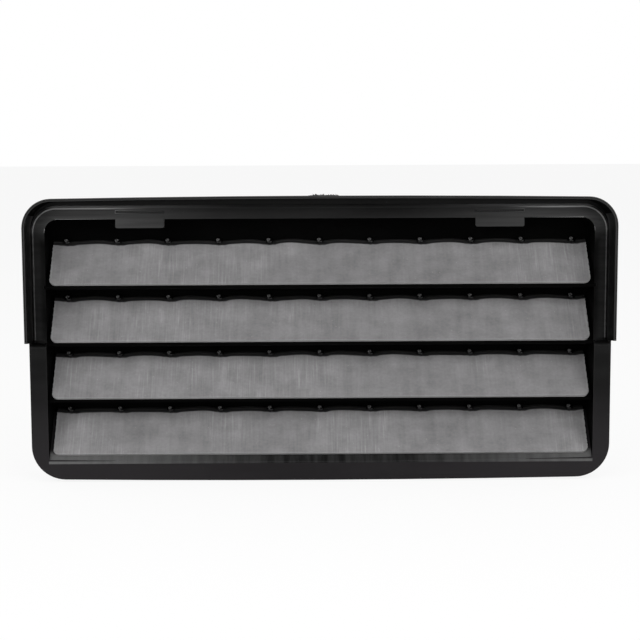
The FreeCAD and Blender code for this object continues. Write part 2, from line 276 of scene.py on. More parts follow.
# Painted tones: highlights on the band's strip and line and on the hood's rim, painted light on the lower
# flange, shade painted down the band's sides, and a paler band and sill. Band, side and strip heights count
# from bandLow, flange depths from z 0. Fronts and rims count forward from the mounting plane, asides from a
# middle, and shares weigh a tone. Inner, outer and wider count out from the sheets' sides. The sill's from
# and to count down the slope from the lowest ridge, and near is the reach off the seat's plane.
paintedZones = {
    "darkestAt": 3 * mm,
    "bandHigh": 7.2 * mm,
    "bandFrontFrom": 3.52 * mm,
    "bandFrontTo": 3.75 * mm,
    "bandFrontEnd": 8.6 * mm,
    "bandAsideFrom": 35 * mm,
    "bandAsideTo": 135 * mm,
    "bandCornerShare": 0.55,
    "bandMiddleShare": 0.10,
    "sideFrom": -14 * mm,
    "sideTo": -2 * mm,
    "sideInner": 2.4 * mm,
    "sideOuter": 6.0 * mm,
    "sideShare": 0.30,
    "stripFrom": 5.4 * mm,
    "stripTo": 5.8 * mm,
    "lineAsideFrom": 88 * mm,
    "lineAsideTo": 120 * mm,
    "flangeFrom": 12 * mm,
    "flangeTo": 76 * mm,
    "flangeAsideFrom": 30 * mm,
    "flangeAsideTo": 110 * mm,
    "flangeCornerShare": 0.30,
    "flangeMiddleShare": 0.62,
    "rimFrom": 23.1 * mm,
    "rimTo": 23.5 * mm,
    "rimEnd": 23.96 * mm,
    "sillFrom": 24 * mm,
    "sillTo": 27 * mm,
    "sillNear": 0.5 * mm,
    "sillWider": 2.0 * mm,
    "sillDarkestAt": 12 * mm,
    "sillAsideFrom": 20 * mm,
    "sillAsideTo": 150 * mm,
    "sillEndShare": 0.62,
    "sillStreakShare": 0.18,
}


def shadedMatteMaterial():
    # Painted shade: the same plastic made darker and duller on the walls deep in the louvres.
    material, tree, shader = startMaterial("blackPlasticMatteShade")
    at = put(tree, "ShaderNodeTexCoord").outputs["Object"]
    slow = useGroup(tree, haze, {"Vector": at, "Stretch": (40, 90, 90)})
    cloud = ramp(tree, slow, 0.35, 0.7)
    color = mixColor(tree, cloud, grey(blackPlastic["matteShadeLow"]), grey(blackPlastic["matteShadeHigh"]))
    tree.links.new(color, shader.inputs["Base Color"])
    shader.inputs["Roughness"].default_value = blackPlastic["matteRough"]
    shader.inputs["Specular IOR Level"].default_value = blackPlastic["matteSpecular"]
    height = useGroup(tree, grain, {"Vector": at, "Scale": 1500.0})
    addBump(tree, shader, height, blackPlastic["matteGrain"], 0.6)
    return material


def asideOf(tree, spot, middle=0.0):
    # How far a place lies to either side of the middle.
    return calc(tree, "ABSOLUTE", calc(tree, "SUBTRACT", spot.outputs["X"], middle))


def bandMask(tree, at, spot):
    # High on the band and the tabs near the corners, low in the middle and down the sides, 0 off the band.
    forward = calc(tree, "MULTIPLY", spot.outputs["Y"], -1)
    top = bandLow + paintedZones["bandHigh"]
    mask = ramp(tree, forward, paintedZones["bandFrontFrom"], paintedZones["bandFrontTo"])
    mask = calc(tree, "MULTIPLY", mask, calc(tree, "LESS_THAN", forward, paintedZones["bandFrontEnd"]))
    mask = calc(tree, "MULTIPLY", mask, calc(tree, "LESS_THAN", spot.outputs["Z"], top))
    mask = calc(tree, "MULTIPLY", mask, calc(tree, "GREATER_THAN", spot.outputs["Z"], 0.0))
    # Down the sides the tone is faint, and fades out towards the opening: painted shade where the side rounds
    # in.
    high = ramp(tree, spot.outputs["Z"], bandLow + paintedZones["sideFrom"], bandLow + paintedZones["sideTo"])
    sideShadeFade = ramp(tree, asideOf(tree, spot), sheetHalf + paintedZones["sideInner"], sheetHalf + paintedZones["sideOuter"])
    sideShadeFade = calc(tree, "MULTIPLY", sideShadeFade, paintedZones["sideShare"])
    mask = calc(tree, "MULTIPLY", mask, calc(tree, "MAXIMUM", high, sideShadeFade))
    streak = useGroup(tree, haze, {"Vector": at, "Stretch": (14, 300, 420)})
    aside = asideOf(tree, spot, paintedZones["darkestAt"])
    corner = ramp(tree, aside, paintedZones["bandAsideFrom"], paintedZones["bandAsideTo"])
    share = calc(tree, "MULTIPLY_ADD", corner, paintedZones["bandCornerShare"], paintedZones["bandMiddleShare"])
    uneven = calc(tree, "MULTIPLY_ADD", ramp(tree, streak, 0.3, 0.7), 0.5, 0.75)
    return calc(tree, "MULTIPLY", mask, calc(tree, "MULTIPLY", share, uneven), clamp=True)


def bandTone(tree, spot, edge):
    # Painted highlight: the strip over the band's shoulder, in the hood's shade, is painted paler. So is the
    # shoulder's line.
    strip = ramp(tree, spot.outputs["Z"], bandLow + paintedZones["stripFrom"], bandLow + paintedZones["stripTo"])
    tone = mixColor(tree, strip, grey(blackPlastic["bandPale"]), grey(blackPlastic["bandStripHighlight"]))
    if edge:
        aside = asideOf(tree, spot, paintedZones["darkestAt"])
        line = ramp(tree, aside, paintedZones["lineAsideFrom"], paintedZones["lineAsideTo"])
        tone = mixColor(tree, line, tone, grey(blackPlastic["bandLineHighlight"]))
    return tone


def sillMask(tree, spot):
    # The sill is the lowest seat past its flap's lip: far enough down the slope and close to its plane.
    last = ridges[flapNames[-1]]
    y = calc(tree, "SUBTRACT", spot.outputs["Y"], last.y)
    z = calc(tree, "SUBTRACT", spot.outputs["Z"], last.z)
    down = calc(tree, "MULTIPLY", calc(tree, "ADD", y, z), -math.sqrt(0.5))
    out = calc(tree, "ABSOLUTE", calc(tree, "MULTIPLY", calc(tree, "SUBTRACT", z, y), math.sqrt(0.5)))
    mask = ramp(tree, down, paintedZones["sillFrom"], paintedZones["sillTo"])
    mask = calc(tree, "MULTIPLY", mask, calc(tree, "LESS_THAN", out, paintedZones["sillNear"]))
    inside = calc(tree, "LESS_THAN", asideOf(tree, spot), sheetHalf + paintedZones["sillWider"])
    return calc(tree, "MULTIPLY", mask, inside)


def sillPaleMask(tree, at, spot, onSill):
    # The sill is paler towards its ends, and streaked all along.
    streak = useGroup(tree, haze, {"Vector": at, "Stretch": (260, 30, 30)})
    streak = calc(tree, "MULTIPLY", ramp(tree, streak, 0.3, 0.75), paintedZones["sillStreakShare"])
    aside = asideOf(tree, spot, paintedZones["sillDarkestAt"])
    ends = ramp(tree, aside, paintedZones["sillAsideFrom"], paintedZones["sillAsideTo"])
    return calc(tree, "MULTIPLY", onSill, calc(tree, "MULTIPLY_ADD", ends, paintedZones["sillEndShare"], streak))


def flangeLightMask(tree, spot, onSill):
    # Painted light: the lower part of the flange is painted a little paler, away from the hood's shade, most
    # of all towards its corners.
    mask = ramp(tree, calc(tree, "MULTIPLY", spot.outputs["Z"], -1), paintedZones["flangeFrom"], paintedZones["flangeTo"])
    mask = calc(tree, "MULTIPLY", mask, calc(tree, "MULTIPLY_ADD", onSill, -1.0, 1.0))
    aside = asideOf(tree, spot, paintedZones["darkestAt"])
    corner = ramp(tree, aside, paintedZones["flangeAsideFrom"], paintedZones["flangeAsideTo"])
    share = calc(tree, "MULTIPLY_ADD", corner, paintedZones["flangeCornerShare"], paintedZones["flangeMiddleShare"])
    return calc(tree, "MULTIPLY", mask, share)


def rimHighlightMask(tree, spot):
    # The hood's outer rim is bevelled, and painted paler where it catches the light: a painted highlight.
    forward = calc(tree, "MULTIPLY", spot.outputs["Y"], -1)
    mask = ramp(tree, forward, paintedZones["rimFrom"], paintedZones["rimTo"])
    return calc(tree, "MULTIPLY", mask, calc(tree, "LESS_THAN", forward, paintedZones["rimEnd"]))


def pinMaterial():
    # Polished ends of the pins, with a painted highlight on the crown of each head.
    material, tree, shader = startMaterial("blackPlasticPins")
    at = put(tree, "ShaderNodeTexCoord").outputs["Object"]
    highlightFacing = put(tree, "ShaderNodeAttribute", attribute_name="highlightFacing").outputs["Fac"]
    dustAndSheen = ramp(tree, highlightFacing, 0.95, 0.995)
    color = mixColor(tree, dustAndSheen, grey(blackPlastic["pinDark"]), grey(blackPlastic["pinHighlight"]))
    tree.links.new(color, shader.inputs["Base Color"])
    shader.inputs["Roughness"].default_value = blackPlastic["pinRough"]
    shader.inputs["Specular IOR Level"].default_value = blackPlastic["pinSpecular"]
    height = useGroup(tree, grain, {"Vector": at, "Scale": 2400.0})
    addBump(tree, shader, height, blackPlastic["pinGrain"], 0.5)
    return material


def plasticMaterial(name, edge=False):
    # Satin black moulding: a slow haze and dust specks, then painted light on flange, rim and band, and a
    # paler sill.
    material, tree, shader = startMaterial(name)
    at = put(tree, "ShaderNodeTexCoord").outputs["Object"]
    spot = put(tree, "ShaderNodeSeparateXYZ", {0: at})
    slow = useGroup(tree, haze, {"Vector": at, "Stretch": (22, 60, 70)})
    dustAndSheen = useGroup(tree, specks, {"Vector": at, "Scale": 260.0, "Size": 0.055, "Share": 0.72})
    cloud = ramp(tree, slow, 0.38, 0.66)
    # On the edge copy the tone starts paler: worn edges, with a painted highlight.
    low = blackPlastic["edge"] if edge else blackPlastic["dark"]
    color = mixColor(tree, cloud, grey(low), grey(blackPlastic["hazy"] + low - blackPlastic["dark"]))
    color = mixColor(tree, calc(tree, "MULTIPLY", dustAndSheen, 0.5), color, grey(blackPlastic["dustAndSheen"]))
    onSill = sillMask(tree, spot)
    color = mixColor(tree, flangeLightMask(tree, spot, onSill), color, blackPlastic["lowPaintedLight"])
    color = mixColor(tree, rimHighlightMask(tree, spot), color, grey(blackPlastic["rim"]))
    color = mixColor(tree, sillPaleMask(tree, at, spot, onSill), color, grey(blackPlastic["sillPale"]))
    color = mixColor(tree, bandMask(tree, at, spot), color, bandTone(tree, spot, edge))
    tree.links.new(color, shader.inputs["Base Color"])
    rough = put(tree, "ShaderNodeMapRange", {"Value": cloud, "To Min": blackPlastic["roughLow"],
                                             "To Max": blackPlastic["roughHigh"]})
    tree.links.new(rough.outputs[0], shader.inputs["Roughness"])
    shader.inputs["Specular IOR Level"].default_value = blackPlastic["specular"]
    height = useGroup(tree, grain, {"Vector": at, "Scale": 1900.0})
    addBump(tree, shader, height, blackPlastic["grainHeight"], 0.6)
    return material


flapRubber = {
    "pale": (0.248, 0.244, 0.248, 1),
    "deep": (0.128, 0.126, 0.128, 1),
    # darkMargin is the top margin's dark tone; crestHighlight is a painted highlight along its crest.
    "darkMargin": 0.0028,
    "crestHighlight": 0.035,
    "scratch": 0.30,
    "dustAndSheen": 0.40,
    "rim": 0.27,
    "rough": 0.78,
    "specular": 0.35,
    "grainHeight": 0.04 * mm,
}


def rubberMaterial():
    # Grey rubber: clouds, mottling, streaks in places, specks, a dark top margin with a painted highlight on
    # its crest, and a paler rim.
    material, tree, shader = startMaterial("flapRubber")
    sheetAt = put(tree, "ShaderNodeUVMap", uv_map="sheet").outputs[0]
    fine = useGroup(tree, haze, {"Vector": sheetAt, "Stretch": (110, 4.5, 1), "Detail": 3.0})
    broad = useGroup(tree, haze, {"Vector": sheetAt, "Stretch": (16, 2.5, 1), "Detail": 3.0})
    blotch = useGroup(tree, haze, {"Vector": sheetAt, "Stretch": (7, 11, 1), "Detail": 6.0})
    mottle = useGroup(tree, haze, {"Vector": sheetAt, "Stretch": (60, 75, 1), "Detail": 3.0})
    slow = useGroup(tree, haze, {"Vector": sheetAt, "Stretch": (1.3, 1.5, 1), "Detail": 2.0})
    where = ramp(tree, slow, 0.42, 0.6)
    # The tone is a weighted sum of the four masks. The fine streaks weigh more where the slow mask is high.
    tone = calc(tree, "MULTIPLY", ramp(tree, fine, 0.25, 0.78), calc(tree, "MULTIPLY_ADD", where, 0.30, 0.06))
    tone = calc(tree, "MULTIPLY_ADD", ramp(tree, broad, 0.3, 0.7), 0.24, tone)
    tone = calc(tree, "MULTIPLY_ADD", ramp(tree, blotch, 0.3, 0.7), 0.34, tone)
    tone = calc(tree, "MULTIPLY_ADD", ramp(tree, mottle, 0.3, 0.7), 0.16, tone)
    # Towards the lip the sheet is a little darker.
    lip = ramp(tree, put(tree, "ShaderNodeSeparateXYZ", {0: sheetAt}).outputs["Y"], 0.10, 0.28)
    tone = calc(tree, "MULTIPLY_ADD", lip, -0.10, tone)
    color = mixColor(tree, tone, flapRubber["deep"], flapRubber["pale"])
    dustAndSheen = useGroup(tree, specks, {"Vector": sheetAt, "Scale": 55.0, "Size": 0.13, "Share": 0.90})
    color = mixColor(tree, calc(tree, "MULTIPLY", dustAndSheen, 0.35), color, grey(flapRubber["dustAndSheen"]))
    rim = put(tree, "ShaderNodeAttribute", attribute_name="rim").outputs["Fac"]
    color = mixColor(tree, calc(tree, "MULTIPLY", rim, 0.45), color, grey(flapRubber["rim"]))
    scratch = calc(tree, "MULTIPLY", ramp(tree, where, 0.55, 0.95), ramp(tree, fine, 0.58, 0.70))
    color = mixColor(tree, calc(tree, "MULTIPLY", scratch, 0.35), color, grey(flapRubber["scratch"]))
    darkMargin = put(tree, "ShaderNodeAttribute", attribute_name="darkMargin").outputs["Fac"]
    crestHighlight = put(tree, "ShaderNodeAttribute", attribute_name="crestHighlight").outputs["Fac"]
    dark = mixColor(tree, crestHighlight, grey(flapRubber["darkMargin"]), grey(flapRubber["crestHighlight"]))
    color = mixColor(tree, ramp(tree, darkMargin, 0.25, 0.75), color, dark)
    tree.links.new(color, shader.inputs["Base Color"])
    shader.inputs["Roughness"].default_value = flapRubber["rough"]
    shader.inputs["Specular IOR Level"].default_value = flapRubber["specular"]
    height = useGroup(tree, grain, {"Vector": sheetAt, "Scale": 130.0})
    both = calc(tree, "MULTIPLY_ADD", tone, 0.7, height)
    addBump(tree, shader, both, flapRubber["grainHeight"], 0.5)
    return material


sealFoam = {
    "deep": 0.022,
    "pale": 0.040,
    "cell": 0.012,
    "rough": 0.92,
    "cellHeight": 0.15 * mm,
}


def foamMaterial():
    # Dark closed-cell foam: open-looking skin of small cells.
    material, tree, shader = startMaterial("sealFoam")
    at = put(tree, "ShaderNodeTexCoord").outputs["Object"]
    cells = put(tree, "ShaderNodeTexVoronoi", {"Vector": at, "Scale": 1400.0})
    slow = useGroup(tree, haze, {"Vector": at, "Stretch": (90, 90, 90)})
    color = mixColor(tree, ramp(tree, slow, 0.35, 0.65), grey(sealFoam["deep"]), grey(sealFoam["pale"]))
    color = mixColor(tree, ramp(tree, cells.outputs["Distance"], 0.55, 0.1), color, grey(sealFoam["cell"]))
    tree.links.new(color, shader.inputs["Base Color"])
    shader.inputs["Roughness"].default_value = sealFoam["rough"]
    height = calc(tree, "MULTIPLY_ADD", cells.outputs["Distance"], 1.0,
                  useGroup(tree, grain, {"Vector": at, "Scale": 700.0}))
    addBump(tree, shader, height, sealFoam["cellHeight"], 0.7)
    return material


plastic, plasticEdge = plasticMaterial("blackPlastic"), plasticMaterial("blackPlasticEdge", edge=True)
rubber, foam, matteShade, polished = rubberMaterial(), foamMaterial(), shadedMatteMaterial(), pinMaterial()
print("materials ready")


# Housing: the moulding's own solid with its outer creases rounded over and its edges a little paler, worn and
# painted as highlights.
housing = {
    "flatAngle": 0.25,
    "edgeAngle": 20,
    "shortEdge": 0.2 * mm,
    "ease": 0.42 * mm,
    "easeShare": 0.45,
    "segments": 3,
    "louvreFront": -9.3 * mm,
    "louvreBack": 19.0 * mm,
    "louvreDrop": 22.6 * mm,
    "bandGap": 0.1 * mm,
    "creaseSide": 1.5 * mm,
    "dullSide": 2.1 * mm,
    "sillNear": 0.6 * mm,
    "pocketGap": 1 * mm,
    "tabFront": -4 * mm,
    "tabDrop": 5 * mm,
    "hoodFront": -10.0 * mm,
    "shoulderAt": -5.0 * mm,
    "shoulderEdge": 0.5 * mm,
    "bandFront": -6.8 * mm,
    "cornerDrop": 7 * mm,
    "ribAt": 141.1 * mm,
    "ribHalf": 0.9 * mm,
    "ribFront": -8.5 * mm,
    "ribBack": -1.2 * mm,
    "ribLow": -71.0 * mm,
    "ribCut": -69.5 * mm,
}


def atRibEnd(place, low):
    # The outermost seal ribs, near the rounded lower corners.
    onRib = abs(abs(place.x) - housing["ribAt"]) < housing["ribHalf"]
    return onRib and place.z < low and housing["ribFront"] < place.y < housing["ribBack"]


def trimRibs(work):
    # In the solid those two ribs stand about 1 mm out of the corners, which is a fault of the solid.
    # Here each end point goes back to the outline over it.
    for vert in [v for v in work.verts if atRibEnd(v.co, housing["ribLow"])]:
        column = [v for v in work.verts
                  if (v.co.xy - vert.co.xy).length < 0.01 * mm and v.co.z > vert.co.z + 0.1 * mm]
        vert.co = min(column, key=lambda v: v.co.z).co
    bmesh.ops.remove_doubles(work, verts=work.verts, dist=0.5e-6)
    bmesh.ops.dissolve_degenerate(work, edges=work.edges, dist=1e-6)


def copyNode(name, node, flatAngle=0.0):
    # The node's triangles joined up. With a flat angle the two ribs are trimmed as well, and facets of one
    # flat face become one face.
    mesh = frame["nodes"][node].data.copy()
    mesh.name = name
    mesh.materials.clear()
    work = bmesh.new()
    work.from_mesh(mesh)
    bmesh.ops.remove_doubles(work, verts=work.verts, dist=0.5e-6)
    if flatAngle > 0:
        trimRibs(work)
        limit = math.radians(flatAngle)
        bmesh.ops.dissolve_limit(work, angle_limit=limit, verts=work.verts, edges=work.edges)
    work.to_mesh(mesh)
    work.free()
    piece = bpy.data.objects.new(name, mesh)
    bpy.context.scene.collection.objects.link(piece)
    return piece


def inLouvres(x, y, z, side):
    # Between the duct's side walls, behind the flange's face and in front of the duct's rear end.
    inside = (np.abs(x) < sheetHalf + side) & (y > housing["louvreFront"]) & (y < housing["louvreBack"])
    low = ridges[flapNames[-1]].z - housing["louvreDrop"]
    return inside & (z > low) & (z < bandLow - housing["bandGap"])


def shadedDullWalls(mesh):
    # Faces given the darker, duller plastic as painted shade: the louvres but for the sill, and the hood's
    # top wall from below.
    centers, normals = np.zeros(len(mesh.polygons) * 3), np.zeros(len(mesh.polygons) * 3)
    mesh.polygons.foreach_get("center", centers)
    mesh.polygons.foreach_get("normal", normals)
    x, y, z = centers.reshape(-1, 3).T
    ny, nz = normals.reshape(-1, 3).T[1:]
    last = ridges[flapNames[-1]]
    offPlane = np.abs((z - last.z) - (y - last.y)) > housing["sillNear"]
    offSill = offPlane | (y > last.y - housing["pocketGap"])
    offTabs = ~((y < housing["tabFront"]) & (z > bandLow - housing["tabDrop"]))
    underHood = (nz < -0.5) & (z > bandLow) & (np.abs(ny) < 0.3) & (y < housing["hoodFront"])
    return (inLouvres(x, y, z, housing["dullSide"]) & offSill & offTabs) | underHood


def besideBand(x, y, z):
    # The band's inner side below its corners, which has no crisp edge.
    low = 0 < z < bandLow - housing["cornerDrop"]
    return low and y > housing["bandFront"] and abs(x) < sheetHalf + housing["dullSide"]


def markCreases(mesh):
    # A bevel weight on each outward crease outside the louvres, the whole width on the band's shoulder.
    work = bmesh.new()
    work.from_mesh(mesh)
    weight = work.edges.layers.float.new("bevel_weight_edge")
    least = math.radians(housing["edgeAngle"])
    for edge in work.edges:
        if len(edge.link_faces) != 2 or edge.calc_length() < housing["shortEdge"]:
            continue
        x, y, z = middle = (edge.verts[0].co + edge.verts[1].co) / 2
        if atRibEnd(middle, housing["ribCut"]) or besideBand(x, y, z):
            continue
        if edge.calc_face_angle_signed(0) > least and not inLouvres(x, y, z, housing["creaseSide"]):
            level = abs(y - housing["shoulderAt"]) < 0.1 * mm and z > 0
            shoulder = level and edge.calc_length() > housing["shoulderEdge"]
            edge[weight] = 1.0 if shoulder else housing["easeShare"]
    work.to_mesh(mesh)
    work.free()


def finishHousing():
    piece = copyNode("housingShell", "housing", housing["flatAngle"])
    for material in (plastic, plasticEdge, matteShade):
        piece.data.materials.append(material)
    # Those faces take the darker plastic, slot 2, as painted shade.
    dull = shadedDullWalls(piece.data)
    piece.data.polygons.foreach_set("material_index", np.where(dull, 2, 0).astype(np.int32))
    piece.data.shade_smooth()
    piece.data.set_sharp_from_angle(angle=math.radians(housing["edgeAngle"]))
    markCreases(piece.data)
    rounded = piece.modifiers.new("creases", "BEVEL")
    rounded.width = housing["ease"]
    rounded.segments = housing["segments"]
    rounded.limit_method = "WEIGHT"
    rounded.use_clamp_overlap = False
    rounded.material = 1
    flat = piece.modifiers.new("flatFaces", "WEIGHTED_NORMAL")
    flat.keep_sharp = True
    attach(piece, "housing")
    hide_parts("housing")


finishHousing()
print("housing ready")


# Gate vestige: a ragged line of broken plastic on the hood's top edge, where the moulding was fed.
vestige = {
    "from": -6.2 * mm,
    "to": 9.6 * mm,
    "count": 56,
    "high": 1.05 * mm,
    "sunk": 0.5 * mm,
    "overlap": 0.1 * mm,
    "taper": 1.5 * mm,
    "slope": 0.3 * mm,
    "front": -23.6 * mm,
    "back": -22.3 * mm,
}


def gateVestige():
    # The height is a random share at each place, tapered at both ends. Each section is a four-sided ring.
    v = vestige
    random = np.random.default_rng(5)
    x = np.linspace(v["from"], v["to"], v["count"])
    taper = np.clip(np.minimum(x - v["from"], v["to"] - x) / v["taper"], 0, 1)
    high = v["high"] * taper * random.uniform(0.25, 1.0, v["count"]) ** 1.4
    foot = cadHigh.z - v["sunk"] + 0 * x
    base = cadHigh.z - v["overlap"]
    depth = [v["front"], v["front"] + v["slope"], v["back"] - v["slope"], v["back"]]
    rise = [foot, base + high, base + 0.7 * high, foot]
    points = np.stack([np.stack([x, y + 0 * x, z], axis=-1) for y, z in zip(depth, rise)], axis=1)
    faces = tubeFaces(v["count"], 4)
    last = (v["count"] - 1) * 4
    faces += [[3, 2, 1, 0], [last, last + 1, last + 2, last + 3]]
    piece = addMesh("gateVestige", points.reshape(-1, 3), faces, sharpAngle=25)
    piece.data.materials.append(plastic)
    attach(piece, "housing")


gateVestige()
print("gate vestige ready")


def pinHeads():
    # A turned profile of (radius, height) pairs about each pin's axis: shank, flat underside, domed head.
    p = pinRow
    turn = np.linspace(0, math.pi / 2, 7)
    dome = (p["headHigh"] - p["headLow"]) * p["domeShare"]
    shoulder = p["headHigh"] - dome
    lowRadius = [0, p["shankRadius"], p["shankRadius"], p["headRadius"] * p["lipShare"], p["headRadius"]]
    lowHigh = [-p["shankFoot"], -p["shankFoot"], p["headLow"], p["headLow"], p["headLow"] + p["lipRise"]]
    radius = np.concatenate([lowRadius, p["headRadius"] * np.cos(turn)])
    high = np.concatenate([lowHigh, shoulder + dome * np.sin(turn)])
    radius[-1] = 0
    angle = np.arange(p["around"]) * 2 * math.pi / p["around"]
    points, faces = [], []
    pinFaces = tubeFaces(len(radius), p["around"])
    for ridge in ridges.values():
        for x in pinPlaces:
            offset = len(points) * len(radius) * p["around"]
            across = x + radius[:, None] * np.cos(angle)
            down = radius[:, None] * np.sin(angle)
            points.append(onSeat(across, down, high[:, None] + 0 * angle, ridge).reshape(-1, 3))
            faces += [[v + offset for v in face] for face in pinFaces]
    piece = addMesh("flapPins", np.concatenate(points), faces, sharpAngle=50)
    # How far each place of a dome faces the painted highlight: its ellipsoid's unit normal times that
    # direction.
    normal = np.stack([radius[:, None] * np.cos(angle) / p["headRadius"] ** 2,
                       radius[:, None] * np.sin(angle) / p["headRadius"] ** 2,
                       (high - shoulder)[:, None] / dome ** 2 + 0 * angle], axis=-1)
    facing = normal @ np.array(p["highlightFrom"]) / np.maximum(np.linalg.norm(normal, axis=-1), 1e-9)
    facing = np.where(high[:, None] > shoulder, facing, 0.0)
    layer = piece.data.attributes.new("highlightFacing", "FLOAT", "POINT")
    layer.data.foreach_set("value", np.tile(facing.ravel(), len(points)).astype(np.float32))
    work = bmesh.new()
    work.from_mesh(piece.data)
    bmesh.ops.remove_doubles(work, verts=work.verts, dist=1e-7)
    bmesh.ops.recalc_face_normals(work, faces=work.faces)
    work.to_mesh(piece.data)
    work.free()
    piece.data.materials.append(polished)
    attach(piece, "housing")


pinHeads()
print("pins ready")


# Flaps: rubber sheets that bulge between the pins and roll back over the ridge.
flap = {
    "length": 27.8 * mm,
    "margin": 2.6 * mm,
    "thickness": 0.9 * mm,
    "lift": 0.1 * mm,
    "rollStart": 0.6 * mm,
    "rollRadius": 2.6 * mm,
    "rollTurn": math.radians(36),
    "bulgeLow": 0.35 * mm,
    "bulgeHigh": 1.4 * mm,
    "bulgeFade": 7.5 * mm,
    "holeHalf": 1.1 * mm,
    "holeWarp": 2.75 * mm,
    "cell": 0.55 * mm,
    "cornerRadius": 3.2 * mm,
    "rimWidth": 0.9 * mm,
    "rimStart": 3.0 * mm,
    "rimEase": 0.28 * mm,
    "uvSize": 0.1,
    "uvShift": 7.3,
    "lean": 0.12,
    "outerLift": 0.45 * mm,
    "lipRipple": 0.25 * mm,
    "darkMarginDepth": 1.25 * mm,
    "darkMarginSoft": 1.1 * mm,
    "dipRight": 0.55 * mm,
    "dipRightWide": 1.8 * mm,
    "dipLeft": 0.25 * mm,
    "dipLeftWide": 1.6 * mm,
    "dipAtPin": 0.5 * mm,
    "dipPinWide": 1.3 * mm,
    "dipAside": 2.8 * mm,
    "waver": 0.18 * mm,
    "crestAt": 0.55 * mm,
    "bendStart": 2.0 * mm,
    "bendEnd": 10.0 * mm,
    "bendOut": 0.5 * mm,
}


def flapColumns():
    # Even columns between the outer pins, then columns that crowd towards the sheet's sides.
    inner = np.arange(pinPlaces[0], pinPlaces[-1] + flap["cell"] / 2, flap["cell"])
    room = sheetHalf - pinPlaces[-1]
    ease = np.sin(np.linspace(0, math.pi / 2, 19)[1:])
    return np.concatenate([pinPlaces[0] - room * ease[::-1], inner, pinPlaces[-1] + room * ease])


def flapRows():
    # Distances down from the pin line: fine round the holes, wider below, finer again at the lip.
    fine = np.arange(-4, 12) * flap["cell"]
    coarse = np.linspace(fine[-1], flap["length"] - flap["cornerRadius"], 18)[1:]
    lip = flap["length"] - flap["cornerRadius"] * (1 - np.sin(np.linspace(0, math.pi / 2, 9)[1:]))
    return np.concatenate([[-flap["margin"]], fine, coarse, lip])


def roundHoles(x, down):
    # Square rings of the grid round each pin become circles: the nearer the hole, the rounder.
    nearest = pinPlaces[np.argmin(np.abs(x[..., None] - pinPlaces), axis=-1)]
    side = x - nearest
    square = np.maximum(np.abs(side), np.abs(down))
    far = np.maximum(np.hypot(side, down), 1e-9)
    share = np.clip((flap["holeWarp"] - square) / (flap["holeWarp"] - flap["holeHalf"]), 0, 1)
    factor = 1 + share * (square / far - 1)
    inside = square < flap["holeWarp"]
    return np.where(inside, nearest + side * factor, x), np.where(inside, down * factor, down)


def bulges(x, random):
    # Between two pins the sheet stands off by its own amount, as a squared sine of the way across.
    place = (x - pinPlaces[0]) / pinRow["pitch"]
    span = np.clip(np.floor(place), -1, pinRow["count"] - 1).astype(int)
    high = random.uniform(flap["bulgeLow"], flap["bulgeHigh"], pinRow["count"] + 1)
    lean = random.uniform(-flap["lean"], flap["lean"], pinRow["count"] + 1)[span + 1]
    part = np.clip(place - span, 0, 1)
    part = part + lean * np.sin(math.pi * part)
    rise = high[span + 1] * np.sin(math.pi * part) ** 2
    outer = np.abs(x) > pinPlaces[-1]
    toSide = (np.abs(x) - pinPlaces[-1]) / (sheetHalf - pinPlaces[-1])
    return np.where(outer, flap["outerLift"] * toSide ** 1.5, rise)


